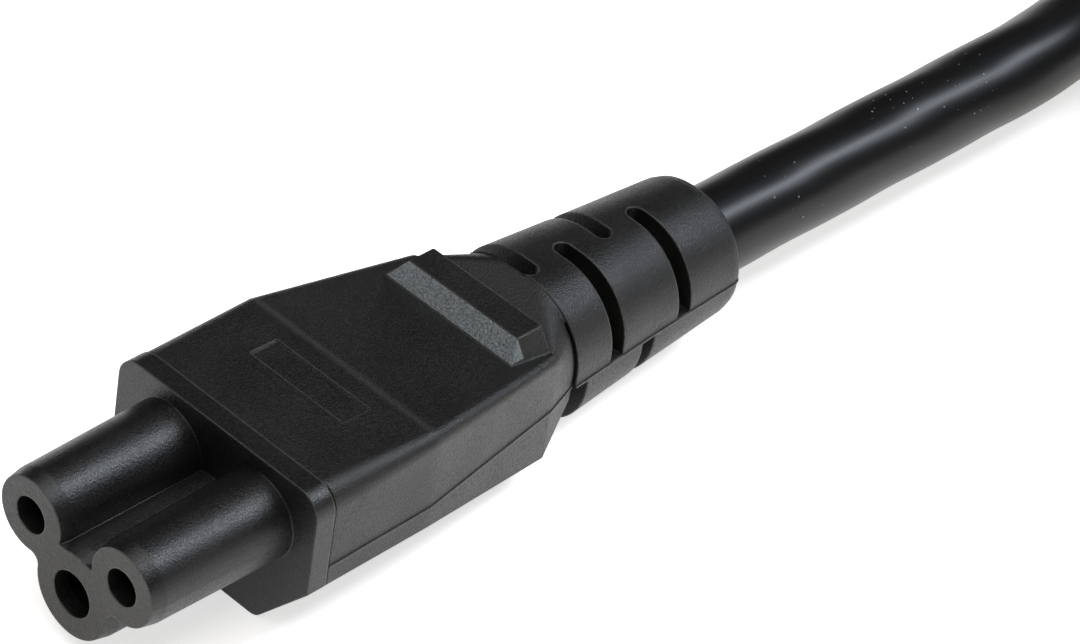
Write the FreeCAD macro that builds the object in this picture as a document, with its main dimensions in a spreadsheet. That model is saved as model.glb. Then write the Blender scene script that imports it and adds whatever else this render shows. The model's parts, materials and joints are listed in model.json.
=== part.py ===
import FreeCAD, Part
import Sketcher
import math
import os

os.makedirs("parts", exist_ok=True)
doc = FreeCAD.newDocument("cloverleaf_connector")
sheet = doc.addObject("Spreadsheet::Sheet", "Sheet")

# Every driving dimension in millimetres: word, size, what it is.
# The origin is under the middle of the connector, the nose points to -Y and the cord leaves to +Y.
DIMENSIONS = [
    ("body_half", 29.0, "half the length from the nose face to the end of the strain relief"),
    ("axis_height", 6.35, "height of the cord axis and of the parting line"),
    ("pole_pitch", 8.62, "distance between the line and neutral openings"),
    ("pole_height", 8.40, "height of the line and neutral openings"),
    ("earth_height", 4.75, "height of the earth opening"),
    ("pole_entry", 1.35, "radius of the line and neutral openings"),
    ("earth_entry", 1.70, "radius of the earth opening"),
    ("front_wall", 1.20, "wall in front of the contact chambers"),
    ("lead_in", 1.10, "depth of the taper round the nose tip"),
    ("lead_step", 0.21, "how much that taper narrows the nose"),
    ("pole_lobe", 3.00, "upper lobe radius behind the taper"),
    ("earth_lobe", 3.48, "lower lobe radius behind the taper"),
    ("draft_step", 0.20, "how much the lobes grow to the flange"),
    ("waist_round", 0.75, "radius of the hollow between an upper lobe and the lower one"),
    ("notch_floor", 7.90, "height of the flat between the upper lobes"),
    ("nose_length", 11.80, "nose face to flange"),
    ("flange_depth", 1.60, "flange thickness along the cord"),
    ("flange_half", 9.40, "half width of the flange"),
    ("flange_top", 12.70, "height of the flange"),
    ("flange_round", 1.75, "top corner radius of the flange"),
    ("base_half", 5.15, "half width of the underside"),
    ("sole_round", 1.20, "radius between the underside and the slanted sides"),
    ("cut_height", 4.90, "where the slanted lower sides meet the upright sides of the flange"),
    ("joint_gap", 0.20, "open joint between the flange and the overmould"),
    ("joint_inset", 0.30, "how far that joint goes in"),
    ("front_half", 9.30, "half width of the grip behind the flange"),
    ("front_top", 12.65, "height of the grip behind the flange"),
    ("front_round", 1.70, "top corner radius there"),
    ("crease_run", 9.50, "flange to the crease where the grip starts to narrow"),
    ("crease_half", 9.15, "half width at the crease"),
    ("crease_top", 12.40, "height at the crease"),
    ("crease_round", 0.90, "top corner radius at the crease"),
    ("pad_back", 25.20, "foot of the raised pad to the end of the strain relief"),
    ("pad_half", 7.67, "half width of the grip beside the pad foot"),
    ("pad_top", 11.30, "height of the grip at the pad foot"),
    ("pad_under", 1.03, "height of the underside there"),
    ("rear_back", 21.70, "start of the rear band to the end of the strain relief"),
    ("rear_half", 7.15, "half width at the band"),
    ("rear_top", 10.95, "height at the band"),
    ("rear_round", 0.65, "top corner radius at the band"),
    ("rear_under", 1.40, "height of the underside at the band"),
    ("relief_gap", 0.25, "width of the crevice between band and strain relief"),
    ("band_half", 6.15, "half width at the end of the band"),
    ("band_top", 12.20, "height at the end of the band"),
    ("band_round", 4.80, "top corner radius at the end of the band"),
    ("ramp_foot_half", 6.00, "half width of the pad at its foot"),
    ("ramp_head_half", 5.15, "half width of the pad at its flat"),
    ("ramp_run", 1.30, "length of the pad ramp"),
    ("ramp_rise", 1.20, "height of the pad ramp"),
    ("pad_end_half", 2.20, "half width of the pad where it has sunk into the band"),
    ("pad_skirt", 3.00, "how much wider the sunk pad is at its foot"),
    ("pad_skirt_fall", 1.30, "how far down that foot lies"),
    ("lip_reach", 0.08, "how far the moulding lip stands out at the parting line"),
    ("neck_half", 5.90, "half width in the crevice between band and strain relief"),
    ("relief_length", 18.35, "length of the strain relief"),
    ("relief_half", 6.35, "half width of the strain relief at its start"),
    ("relief_rise", 5.92, "half height of the strain relief at its start"),
    ("relief_round", 5.00, "corner radius at the start"),
    ("relief_mid_back", 10.00, "middle section of the strain relief to its end"),
    ("relief_mid_half", 5.70, "half width in the middle"),
    ("relief_mid_rise", 5.65, "half height in the middle"),
    ("relief_end_half", 5.25, "half width at the end"),
    ("relief_end_round", 5.05, "corner radius at the end"),
    ("relief_edge", 1.20, "rounding of the rear edge"),
    ("slot_back", 17.65, "centre of the first slot row to the end of the strain relief"),
    ("slot_reach", 7.50, "how far a slot cutter reaches from the cord axis"),
    ("slot_pitch", 3.65, "distance between slot rows"),
    ("slot_width", 1.40, "width of a slot"),
    ("slot_rows", 4.0, "number of slot rows"),
    ("slot_past", 0.80, "how far a slot goes past the middle"),
    ("slot_core", 4.10, "radius of the sleeve left round the cord"),
    ("slot_lip", 0.09, "half thickness of the lip left at the parting line"),
    ("frame_half", 4.40, "half width of the bare recess on the top"),
    ("frame_run", 5.30, "flange to the front end of the recess"),
    ("frame_depth", 2.40, "length of the recess along the cord"),
    ("frame_floor", 12.36, "height of the recess floor"),
    ("boss_length", 6.60, "length of the insert boss behind the flange"),
    ("boss_half", 7.40, "half width of the boss"),
    ("boss_top", 11.20, "height of the boss"),
    ("boss_under", 1.80, "underside of the boss"),
    ("boss_base", 4.40, "half width of the boss underside"),
    ("boss_cut", 5.20, "where the slanted sides of the boss end"),
    ("cap_depth", 1.60, "thickness of the retainer cap"),
    ("pole_chamber", 1.75, "radius of the line and neutral chambers"),
    ("earth_chamber", 2.05, "radius of the earth chamber"),
    ("pole_sleeve", 1.65, "outer radius of the line and neutral contacts"),
    ("earth_sleeve", 1.95, "outer radius of the earth contact"),
    ("pole_bore", 1.20, "inner radius of the line and neutral contacts"),
    ("earth_bore", 1.50, "inner radius of the earth contact"),
    ("contact_gap", 2.60, "front wall to the contacts"),
    ("bore_length", 12.20, "depth of the contact bores"),
    ("slit_width", 0.30, "width of the contact slits"),
    ("slit_length", 8.0, "length of the contact slits"),
    ("pole_barrel", 1.35, "outer radius of the line and neutral barrels"),
    ("earth_barrel", 1.45, "outer radius of the earth barrel"),
    ("crimp_length", 6.00, "length of the crimp barrels"),
    ("crimp_depth", 4.0, "depth of the conductor in its barrel"),
    ("core_size", 1.15, "radius of an insulated core"),
    ("copper_size", 0.575, "radius of a conductor"),
    ("core_side", 1.25, "core spacing from the cord axis, sideways"),
    ("core_up", 0.70, "height of the upper cores over the cord axis"),
    ("core_down", 1.43, "depth of the earth core under the cord axis"),
    ("core_run", 11.00, "length of the bare cores between barrels and sheath"),
    ("cord_size", 3.40, "radius of the cord"),
    ("tie_wall", 0.60, "thickness of the tie"),
    ("tie_width", 10.0, "width of the tie"),
    ("tie_place", 161.0, "middle of the tie"),
    ("run_side", -4.0, "sideways place of the left run of the coil"),
    ("fold_size", 20.40, "radius of the cord centre line in the folds"),
    ("near_fold", 101.0, "centre of the near folds"),
    ("run_length", 119.70, "straight length of the coil"),
    ("plug_side", 1.60, "sideways place of the plug"),
    ("plug_axis", 13.50, "height of the cord axis in the plug"),
    ("plug_start", 261.0, "rear end of the plug strain relief"),
    ("plug_slot_first", 3.0, "rear end to the first slot row of the plug"),
    ("plug_relief", 16.0, "length of the plug strain relief"),
    ("plug_taper", 12.0, "length of the plug taper"),
    ("plug_head", 18.0, "length of the plug head"),
    ("plug_half", 11.0, "half width of the plug head"),
    ("plug_round", 4.0, "corner radius of the plug head"),
    ("carrier_depth", 4.0, "thickness of the pin carrier"),
    ("carrier_half", 8.8, "half width of the pin carrier"),
    ("carrier_rise", 11.0, "half height of the pin carrier"),
    ("carrier_round", 3.0, "corner radius of the pin carrier"),
    ("blade_side", 6.35, "blade distance from the plug middle"),
    ("blade_height", 7.60, "height of the blade middles"),
    ("blade_thick", 1.52, "blade thickness"),
    ("blade_wide", 6.35, "blade width"),
    ("blade_reach", 18.0, "blade length in front of the plug face"),
    ("blade_hole", 1.50, "radius of the hole in a blade"),
    ("blade_hole_place", 11.90, "plug face to that hole"),
    ("pin_height", 19.50, "height of the earth pin"),
    ("pin_size", 2.375, "radius of the earth pin"),
    ("pin_reach", 21.0, "earth pin length in front of the plug face"),
    ("root_length", 9.0, "blade length held behind the plug face"),
    ("plug_barrel", 1.50, "radius of the plug barrels"),
    ("barrel_length", 6.0, "length of the plug barrels"),
    ("plug_sheath", 278.0, "where the sheath ends inside the plug"),
]


class Size:
    """A length that keeps both its number and the sheet formula behind it."""

    def __init__(self, number, text):
        self.number = number
        self.text = text

    def __add__(self, other):
        return Size(self.number + number_of(other), "(%s + %s)" % (self.text, text_of(other)))

    def __radd__(self, other):
        return Size(number_of(other) + self.number, "(%s + %s)" % (text_of(other), self.text))

    def __sub__(self, other):
        return Size(self.number - number_of(other), "(%s - %s)" % (self.text, text_of(other)))

    def __rsub__(self, other):
        return Size(number_of(other) - self.number, "(%s - %s)" % (text_of(other), self.text))

    def __mul__(self, other):
        return Size(self.number * number_of(other), "(%s * %s)" % (self.text, text_of(other)))

    def __rmul__(self, other):
        return Size(number_of(other) * self.number, "(%s * %s)" % (text_of(other), self.text))

    def __truediv__(self, other):
        return Size(self.number / number_of(other), "(%s / %s)" % (self.text, text_of(other)))

    def __neg__(self):
        return Size(-self.number, "(0 - %s)" % self.text)


def number_of(value):
    return value.number if isinstance(value, Size) else float(value)


def root(value):
    return Size(math.sqrt(value.number), "sqrt(%s)" % value.text)


def text_of(value):
    return value.text if isinstance(value, Size) else "(%.6f)" % float(value)


def fill_sheet():
    """Write every dimension into the sheet under its own word."""
    for place, (word, size, meaning) in enumerate(DIMENSIONS):
        row = str(place + 2)
        sheet.set("A" + row, word)
        sheet.set("B" + row, str(size))
        sheet.set("C" + row, meaning)
        sheet.setAlias("B" + row, word)
    doc.recompute()
    return {word: Size(float(sheet.get(word)), "Sheet." + word) for word, size, meaning in DIMENSIONS}


D = fill_sheet()
VECTOR = FreeCAD.Vector
ALONG_Y = FreeCAD.Rotation(VECTOR(1, 0, 0), -90)
ALONG_X = FreeCAD.Rotation(VECTOR(0, 1, 0), 90)
UPRIGHT_WEDGE = FreeCAD.Rotation(VECTOR(1, 0, 0), 90)


def bind(feature, name, value):
    feature.setExpression(name, text_of(value))


def place_at(feature, x, y, z):
    """Tie the position of a piece to the sheet, its turn stays."""
    for axis, value in zip("xyz", (x, y, z)):
        bind(feature, "Placement.Base." + axis, value)


def rod(name, radius, x, z, start, end):
    """A round bar along the cord direction."""
    bar = doc.addObject("Part::Cylinder", name)
    bar.Placement = FreeCAD.Placement(VECTOR(0, 0, 0), ALONG_Y)
    bind(bar, "Radius", radius)
    bind(bar, "Height", end - start)
    place_at(bar, x, start, z)
    return bar


def tapered_rod(name, front, back, x, z, start, end):
    """A round bar along the cord direction that changes radius."""
    bar = doc.addObject("Part::Cone", name)
    bar.Placement = FreeCAD.Placement(VECTOR(0, 0, 0), ALONG_Y)
    bind(bar, "Radius1", front)
    bind(bar, "Radius2", back)
    bind(bar, "Height", end - start)
    place_at(bar, x, start, z)
    return bar


def post(name, radius, x, y, bottom, top):
    """A round bar standing upright."""
    bar = doc.addObject("Part::Cylinder", name)
    bind(bar, "Radius", radius)
    bind(bar, "Height", top - bottom)
    place_at(bar, x, y, bottom)
    return bar


def block(name, x, y, z):
    """A box between two places on each axis."""
    box = doc.addObject("Part::Box", name)
    bind(box, "Length", x[1] - x[0])
    bind(box, "Width", y[1] - y[0])
    bind(box, "Height", z[1] - z[0])
    place_at(box, x[0], y[0], z[0])
    return box


def fused(name, pieces):
    joined = doc.addObject("Part::MultiFuse", name)
    joined.Shapes = pieces
    joined.Refine = True
    return joined


def trimmed(name, base, tool):
    rest = doc.addObject("Part::Cut", name)
    rest.Base = base
    rest.Tool = tool
    rest.Refine = True
    return rest


def own_plane(body, role):
    """The plane of a body that has the given role."""
    for feature in body.Origin.OriginFeatures:
        if feature.Role == role:
            return feature
    raise ValueError(role)


def sketch_on(body, name, station):
    """An upright sketch across the cord direction at one station."""
    sketch = body.newObject("Sketcher::SketchObject", name)
    sketch.AttachmentSupport = (own_plane(body, "XZ_Plane"), [""])
    sketch.MapMode = "FlatFace"
    bind(sketch, "AttachmentOffset.Base.z", 0.0 - station)
    return sketch


def draw_outline(sketch, corners, radii):
    """Closed outline: corners in turn, with an arc after each corner that has a radius."""
    count = len(corners)
    points = [VECTOR(number_of(x), number_of(z), 0) for x, z in corners]
    for place in range(count):
        first = points[place]
        last = points[(place + 1) % count]
        if place in radii:
            radius = number_of(radii[place])
            half = (last - first) * 0.5
            depth = math.sqrt(max(radius * radius - half.Length * half.Length, 0.0))
            inward = VECTOR(-half.y, half.x, 0).normalize()
            centre = first + half + inward * depth
            begin = math.atan2(first.y - centre.y, first.x - centre.x)
            finish = math.atan2(last.y - centre.y, last.x - centre.x)
            circle = Part.Circle(centre, VECTOR(0, 0, 1), radius)
            if finish < begin:
                finish = finish + 2 * math.pi
            sketch.addGeometry(Part.ArcOfCircle(circle, begin, finish), False)
        else:
            sketch.addGeometry(Part.LineSegment(first, last), False)
    for place in range(count):
        following = (place + 1) % count
        sketch.addConstraint(Sketcher.Constraint("Coincident", place, 2, following, 1))
    for place, (x, z) in enumerate(corners):
        across = sketch.addConstraint(Sketcher.Constraint("DistanceX", -1, 1, place, 1, number_of(x)))
        bind(sketch, "Constraints[%d]" % across, x)
        upward = sketch.addConstraint(Sketcher.Constraint("DistanceY", -1, 1, place, 1, number_of(z)))
        bind(sketch, "Constraints[%d]" % upward, z)
    for place, radius in radii.items():
        bend = sketch.addConstraint(Sketcher.Constraint("Radius", place, number_of(radius)))
        bind(sketch, "Constraints[%d]" % bend, radius)


def housing_corners(half, top, curve, under, base, cut):
    """Flat underside, slanted lower sides, upright sides, rounded top corners and soft lower corners."""
    run = half - base
    rise = cut - under
    slant = root(run * run + rise * rise)
    reach = D["sole_round"] * (slant - run) / rise
    inner = base - reach
    outer = base + reach * run / slant
    low = under + reach * rise / slant
    return [
        (-inner, under), (inner, under), (outer, low), (half, cut), (half, top - curve),
        (half - curve, top), (curve - half, top), (-half, top - curve), (-half, cut), (-outer, low),
    ], {1: D["sole_round"], 4: curve, 6: curve, 9: D["sole_round"]}


def rounded_corners(half, rise, curve, middle_x, middle_z):
    """A rectangle with four equal round corners."""
    left = middle_x - half
    right = middle_x + half
    bottom = middle_z - rise
    top = middle_z + rise
    return [
        (left + curve, bottom), (right - curve, bottom), (right, bottom + curve), (right, top - curve),
        (right - curve, top), (left + curve, top), (left, top - curve), (left, bottom + curve),
    ], {1: curve, 3: curve, 5: curve, 7: curve}


def prism(name, outline, start, end):
    """A body of one outline, from one station to another."""
    body = doc.addObject("PartDesign::Body", name)
    sketch = sketch_on(body, name + "_outline", start)
    draw_outline(sketch, *outline)
    pad = body.newObject("PartDesign::Pad", name + "_pad")
    pad.Profile = sketch
    pad.Reversed = True
    bind(pad, "Length", end - start)
    doc.recompute()
    return body


def lofted(name, stations):
    """A body that runs straight from one outline to the next."""
    body = doc.addObject("PartDesign::Body", name)
    sketches = []
    for place, (station, outline) in enumerate(stations):
        sketch = sketch_on(body, "%s_outline_%d" % (name, place + 1), station)
        draw_outline(sketch, *outline)
        sketches.append(sketch)
    doc.recompute()
    loft = body.newObject("PartDesign::AdditiveLoft", name + "_loft")
    loft.Profile = sketches[0]
    loft.Sections = sketches[1:]
    loft.Ruled = True
    doc.recompute()
    return body


# Steps of a rounded end: how far back from the end, and how much smaller, in shares of its radius.
EASING = [(1.0, 0.0), (0.5, 0.134), (0.134, 0.5), (0.0, 1.0)]


def eased_end(end, edge, half, rise, curve, x, z):
    """Stations that round off an end: each is nearer to the end and smaller all round."""
    stations = []
    for back, inward in EASING:
        less = edge * inward
        stations.append((end - edge * back, rounded_corners(half - less, rise - less, curve - less, x, z)))
    return stations


# Stations along the cord. The front ones count from the nose face, the rear ones from the relief's end.
nose_front = 0.0 - D["body_half"]
flange_front = nose_front + D["nose_length"]
flange_back = flange_front + D["flange_depth"]
chamber_front = nose_front + D["front_wall"]
contact_start = chamber_front + D["contact_gap"]
bore_end = contact_start + D["bore_length"]
boss_end = flange_back + D["boss_length"]
cap_back = boss_end + D["cap_depth"]
barrel_end = boss_end + D["crimp_length"]
sheath_start = barrel_end + D["core_run"]
crease_place = flange_back + D["crease_run"]
relief_end = D["body_half"] + 0.0
relief_start = relief_end - D["relief_length"]
relief_mid = relief_end - D["relief_mid_back"]
slot_first = relief_end - D["slot_back"]
band_end = relief_start - D["relief_gap"]
rear_place = relief_end - D["rear_back"]
pad_place = relief_end - D["pad_back"]
chamfer_run = (D["flange_half"] - D["base_half"]) / D["cut_height"]
pole_side = D["pole_pitch"] / 2.0

# The three ways: word, sideways place, height, and whether it is the earth way.
WAYS = [
    ("line", 0.0 - pole_side, D["pole_height"], "pole"),
    ("neutral", pole_side, D["pole_height"], "pole"),
    ("earth", Size(0.0, "0"), D["earth_height"], "earth"),
]


def make_waist(name, side, start, end, narrower):
    """Hollow that softens the corner between an upper lobe and the lower one."""
    rise = D["pole_height"] - D["earth_height"]
    spread = root(pole_side * pole_side + rise * rise)
    from_pole = D["pole_lobe"] - narrower + D["waist_round"]
    from_earth = D["earth_lobe"] - narrower + D["waist_round"]
    along = (spread * spread + from_earth * from_earth - from_pole * from_pole) / (spread * 2.0)
    off = root(from_earth * from_earth - along * along)
    x = (along * pole_side + off * rise) / spread * side
    z = D["earth_height"] + (along * rise - off * pole_side) / spread
    corners = [(pole_side * 0.0, D["earth_height"]), (x, z), (pole_side * side, D["pole_height"])]
    if side < 0:
        corners.reverse()
    web = prism(name + "_web", (corners, {}), start, end)
    return trimmed(name, web, rod(name + "_hollow", D["waist_round"], x, z, start - 0.5, end + 0.5))


def make_nose():
    """Three drafted lobes with a short taper at the tip and a flat between the upper two."""
    pieces = []
    shoulder = nose_front + D["lead_in"]
    root_end = flange_front + 0.2
    for word, x, z, kind in WAYS:
        lobe = D[kind + "_lobe"]
        grown = lobe + D["draft_step"]
        pieces.append(tapered_rod(word + "_nose_tip", lobe - D["lead_step"], lobe, x, z, nose_front, shoulder))
        pieces.append(tapered_rod(word + "_nose_lobe", lobe, grown, x, z, shoulder, root_end))
    floor = D["notch_floor"]
    web = [(0.0 - pole_side, floor), (Size(0.0, "0"), D["earth_height"]), (pole_side, floor)]
    pieces.append(prism("nose_web", (web, {}), nose_front, root_end))
    for word, side in (("right", 1.0), ("left", -1.0)):
        pieces.append(make_waist(word + "_waist_tip", side, nose_front, shoulder, D["lead_step"]))
        pieces.append(make_waist(word + "_waist", side, shoulder, root_end, 0.0))
    return pieces


def make_chambers():
    """Openings in the nose face and the chambers behind them."""
    pieces = []
    for word, x, z, kind in WAYS:
        entry = D[kind + "_entry"]
        pieces.append(rod(word + "_opening", entry, x, z, nose_front - 0.5, chamber_front + 0.2))
        pieces.append(rod(word + "_chamber", D[kind + "_chamber"], x, z, chamber_front, boss_end + 0.5))
    return fused("nose_chambers", pieces)


def make_insert():
    """Nose, flange and boss in one rigid piece."""
    flange = housing_corners(
        D["flange_half"], D["flange_top"], D["flange_round"],
        Size(0.0, "0"), D["base_half"], D["cut_height"],
    )
    boss = housing_corners(
        D["boss_half"], D["boss_top"], D["front_round"],
        D["boss_under"], D["boss_base"], D["boss_cut"],
    )
    plate = prism("insert_flange", flange, flange_front, flange_back)
    block_behind = prism("insert_boss", boss, flange_back - 0.4, boss_end)
    solid = fused("insert_solid", make_nose() + [plate, block_behind])
    return trimmed("nose_insert", solid, make_chambers()), block_behind, boss


def make_retainer(boss):
    """Cap behind the boss with a clearance hole for each barrel."""
    plate = prism("cap_plate", boss, boss_end, cap_back)
    holes = []
    for word, x, z, kind in WAYS:
        clear = D[kind + "_barrel"] + 0.1
        holes.append(rod(word + "_cap_hole", clear, x, z, boss_end - 0.5, cap_back + 0.5))
    return trimmed("contact_retainer", plate, fused("cap_holes", holes)), plate


def make_contact(word, x, z, kind):
    """Slit sleeve in front, crimp barrel behind."""
    outside = fused(word + "_contact_solid", [
        rod(word + "_sleeve", D[kind + "_sleeve"], x, z, contact_start, boss_end),
        rod(word + "_barrel", D[kind + "_barrel"], x, z, boss_end - 0.3, barrel_end),
    ])
    mouth = D[kind + "_bore"]
    slit = D["slit_width"] / 2.0
    reach = D[kind + "_sleeve"] + 0.3
    slit_end = contact_start + D["slit_length"]
    inside = fused(word + "_contact_hollow", [
        rod(word + "_bore", mouth, x, z, contact_start - 0.2, bore_end),
        tapered_rod(word + "_mouth", mouth + 0.25, mouth, x, z, contact_start - 0.05, contact_start + 0.45),
        rod(word + "_crimp", D["copper_size"], x, z, barrel_end - D["crimp_depth"], barrel_end + 0.2),
        block(word + "_slit", (x - reach, x + reach), (contact_start - 0.2, slit_end), (z - slit, z + slit)),
    ])
    return trimmed(word + "_contact", outside, inside)


def path_of(points, reach=0.45):
    """A path through the points with a tangent arc at each turn."""
    edges = []
    spots = [VECTOR(*[number_of(value) for value in point]) for point in points]
    start = spots[0]
    for before, corner, after in zip(spots, spots[1:], spots[2:]):
        coming = (corner - before).normalize()
        going = (after - corner).normalize()
        step = reach * min((corner - before).Length, (after - corner).Length)
        turn = coming.getAngle(going)
        arc_start = corner - coming * step
        arc_end = corner + going * step
        radius = step / math.tan(turn / 2)
        centre = corner + (going - coming).normalize() * (radius / math.cos(turn / 2))
        middle = centre + (corner - centre).normalize() * radius
        edges.append(Part.LineSegment(start, arc_start).toShape())
        edges.append(Part.Arc(arc_start, middle, arc_end).toShape())
        print("turn radius mm", round(radius, 1))
        start = arc_end
    edges.append(Part.LineSegment(start, spots[-1]).toShape())
    return Part.Wire(edges)


def swept(path, radius):
    """A round solid along a path."""
    first = path.Edges[0]
    start = first.valueAt(first.FirstParameter)
    along = first.tangentAt(first.FirstParameter)
    ring = Part.Wire([Part.makeCircle(number_of(radius), start, along)])
    return path.makePipeShell([ring], True, False)


def add_shape(name, shape):
    piece = doc.addObject("Part::Feature", name)
    piece.Shape = shape
    return piece


def curve_between(first, last, start, end, lead):
    """A soft bend between two places, straight along the cord at both ends."""
    curve = Part.BezierCurve()
    curve.setPoles([
        VECTOR(first[0], start, first[1]),
        VECTOR(first[0], start + lead, first[1]),
        VECTOR(last[0], end - lead, last[1]),
        VECTOR(last[0], end, last[1]),
    ])
    return Part.Wire([curve.toShape()])


def make_core(word, away, cord_place, barrel_back, sheath, crimp_from):
    """Insulated core with its conductor, from a barrel to the sheath end."""
    core_path = curve_between(away, cord_place, barrel_back, sheath, (sheath - barrel_back) * 0.4)
    outer = swept(core_path, D["core_size"])
    copper = swept(core_path, D["copper_size"])
    base = VECTOR(away[0], min(crimp_from, barrel_back), away[1])
    stub = Part.makeCylinder(D["copper_size"].number, abs(barrel_back - crimp_from), base, VECTOR(0, 1, 0))
    tube = add_shape(word + "_core", outer.cut(copper))
    metal = add_shape(word + "_conductor", copper.fuse(stub))
    return tube, metal, add_shape(word + "_core_space", outer)


def cord_places(x, z, turned):
    """Where the three cores lie in the cord section; turned puts the earth core on top."""
    side = D["core_side"].number
    up = D["core_up"].number * turned
    return {
        "line": (x - side, z + up),
        "neutral": (x + side, z + up),
        "earth": (x, z - D["core_down"].number * turned),
    }


def make_connector_cores():
    cores = []
    ends = cord_places(0.0, D["axis_height"].number, 1)
    back = barrel_end.number
    sheath = sheath_start.number
    crimp = back - D["crimp_depth"].number
    for word, x, z, kind in WAYS:
        cores.append(make_core(word, (x.number, z.number), ends[word], back, sheath, crimp))
    return cores


def grip_outline(half, top, curve, under):
    """Section of the grip; the slanted lower sides stay in one plane."""
    base = D["base_half"] + under * chamfer_run
    cut = (half - D["base_half"]) / chamfer_run
    return housing_corners(half, top, curve, under, base, cut)


def make_grip_main(name, wider):
    """The moulded body, from the joint behind the flange to the end of the band."""
    level = Size(0.0, "0")
    joint = grip_outline(D["front_half"] + wider, D["front_top"], D["front_round"], level)
    crease = grip_outline(D["crease_half"] + wider, D["crease_top"], D["crease_round"], level)
    foot = grip_outline(D["pad_half"] + wider, D["pad_top"], D["rear_round"], D["pad_under"])
    rear = grip_outline(D["rear_half"] + wider, D["rear_top"], D["rear_round"], D["rear_under"])
    half = D["band_half"] + wider
    lower = 2.0 * D["axis_height"] - D["band_top"]
    curve = D["band_round"]
    last = housing_corners(half, D["band_top"], curve, lower, half - curve, lower + curve)
    return lofted(name, [
        (flange_back, joint), (crease_place, crease), (pad_place, foot),
        (rear_place, rear), (band_end, last),
    ])


def make_grip_pad():
    """Raised pad with a ramp in front."""
    pad = doc.addObject("Part::Wedge", "upper_pad")
    sunk = 1.5
    slope = (D["ramp_foot_half"] - D["ramp_head_half"]) / D["ramp_rise"]
    run = D["ramp_run"] / D["ramp_rise"]
    foot_half = D["ramp_foot_half"] + slope * sunk
    bind(pad, "Ymin", 0.0)
    bind(pad, "Ymax", D["ramp_rise"] + sunk)
    bind(pad, "Xmin", 0.0 - foot_half)
    bind(pad, "Xmax", foot_half)
    bind(pad, "X2min", 0.0 - D["ramp_head_half"])
    bind(pad, "X2max", D["ramp_head_half"])
    pad.Placement = FreeCAD.Placement(VECTOR(0, 0, 0), UPRIGHT_WEDGE)
    bind(pad, "Zmin", 0.0 - rear_place)
    bind(pad, "Z2min", 0.0 - rear_place)
    bind(pad, "Zmax", run * sunk - pad_place)
    bind(pad, "Z2max", 0.0 - (pad_place + D["ramp_run"]))
    place_at(pad, 0.0, 0.0, D["pad_top"] - sunk)
    return pad


def pad_section(half, top, skirt, fall):
    """Flat top with slanted sides."""
    foot = half + skirt
    return [(0.0 - foot, top - fall), (foot, top - fall), (half, top), (0.0 - half, top)], {}


def make_pad_tail():
    """The pad sinks and narrows into the band."""
    head = D["pad_top"] + D["ramp_rise"]
    slope = (D["ramp_foot_half"] - D["ramp_head_half"]) / D["ramp_rise"]
    fall = D["ramp_rise"] + 0.6
    start = pad_section(D["ramp_head_half"], head, slope * fall, fall)
    end = pad_section(D["pad_end_half"], D["band_top"], D["pad_skirt"], D["pad_skirt_fall"])
    return lofted("pad_tail", [(rear_place, start), (relief_start + 0.4, end)])


def make_relief(name, wider):
    """Tapering round-cornered sleeve round the cord."""
    z = D["axis_height"]
    middle = Size(0.0, "0")
    curve = D["relief_round"]
    start = rounded_corners(D["relief_half"] + wider, D["relief_rise"], curve, middle, z)
    centre = rounded_corners(D["relief_mid_half"] + wider, D["relief_mid_rise"], curve, middle, z)
    half = D["relief_end_half"]
    end = eased_end(relief_end, D["relief_edge"], half + wider, half, D["relief_end_round"], middle, z)
    return lofted(name, [(relief_start, start), (relief_mid, centre)] + end)


def make_lip():
    """Thin lip of moulding compound that stands out all along the parting line."""
    reach = D["lip_reach"]
    wide = fused("lip_outside", [make_grip_main("lip_main", reach), make_relief("lip_relief", reach)])
    side = D["flange_half"] * 2.0
    z = D["axis_height"]
    thick = D["slot_lip"]
    slab = block("lip_slab", (0.0 - side, side), (flange_back, relief_end), (z - thick, z + thick))
    lip = doc.addObject("Part::MultiCommon", "parting_lip")
    lip.Shapes = [wide, slab]
    return lip


def make_joint():
    """Open joint between the flange and the overmould, at the sides and underneath."""
    inset = D["joint_inset"]
    end = flange_back + D["joint_gap"]
    side = D["flange_half"] * 2.0
    inner = housing_corners(
        D["front_half"] - inset, D["front_top"] + 0.1, D["front_round"],
        inset, D["base_half"] - inset * 0.5, D["cut_height"] + inset * 0.5,
    )
    around = block("joint_around", (0.0 - side, side), (flange_back, end), (Size(-1.0, "(0 - 1)"), side))
    return trimmed("joint_ring", around, prism("joint_core", inner, flange_back - 0.5, end + 0.5))


def make_slots(name, x, z, first, core, reach, rows):
    """Slots in turn on both sides of the parting line, with a round inner end."""
    cuts = []
    half = D["slot_width"] / 2.0
    inner = D["slot_past"] - half
    for row in range(rows):
        station = first + D["slot_pitch"] * float(row)
        for side in (-1, 1):
            above = (row % 2 == 0) == (side < 0)
            low = z + D["slot_lip"] if above else z - reach
            high = z + reach if above else z - D["slot_lip"]
            word = "%s_%d_%s" % (name, row + 1, "right" if side > 0 else "left")
            across = (x - inner, x + reach) if side > 0 else (x - reach, x + inner)
            cuts.append(block(word, across, (station - half, station + half), (low, high)))
            turn = x - inner if side > 0 else x + inner
            cuts.append(post(word + "_end", half, turn, station, low, high))
    last = first + D["slot_pitch"] * float(rows)
    sleeve = rod(name + "_sleeve", core, x, z, first - 3.0, last)
    return trimmed(name, fused(name + "_all", cuts), sleeve)


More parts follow.
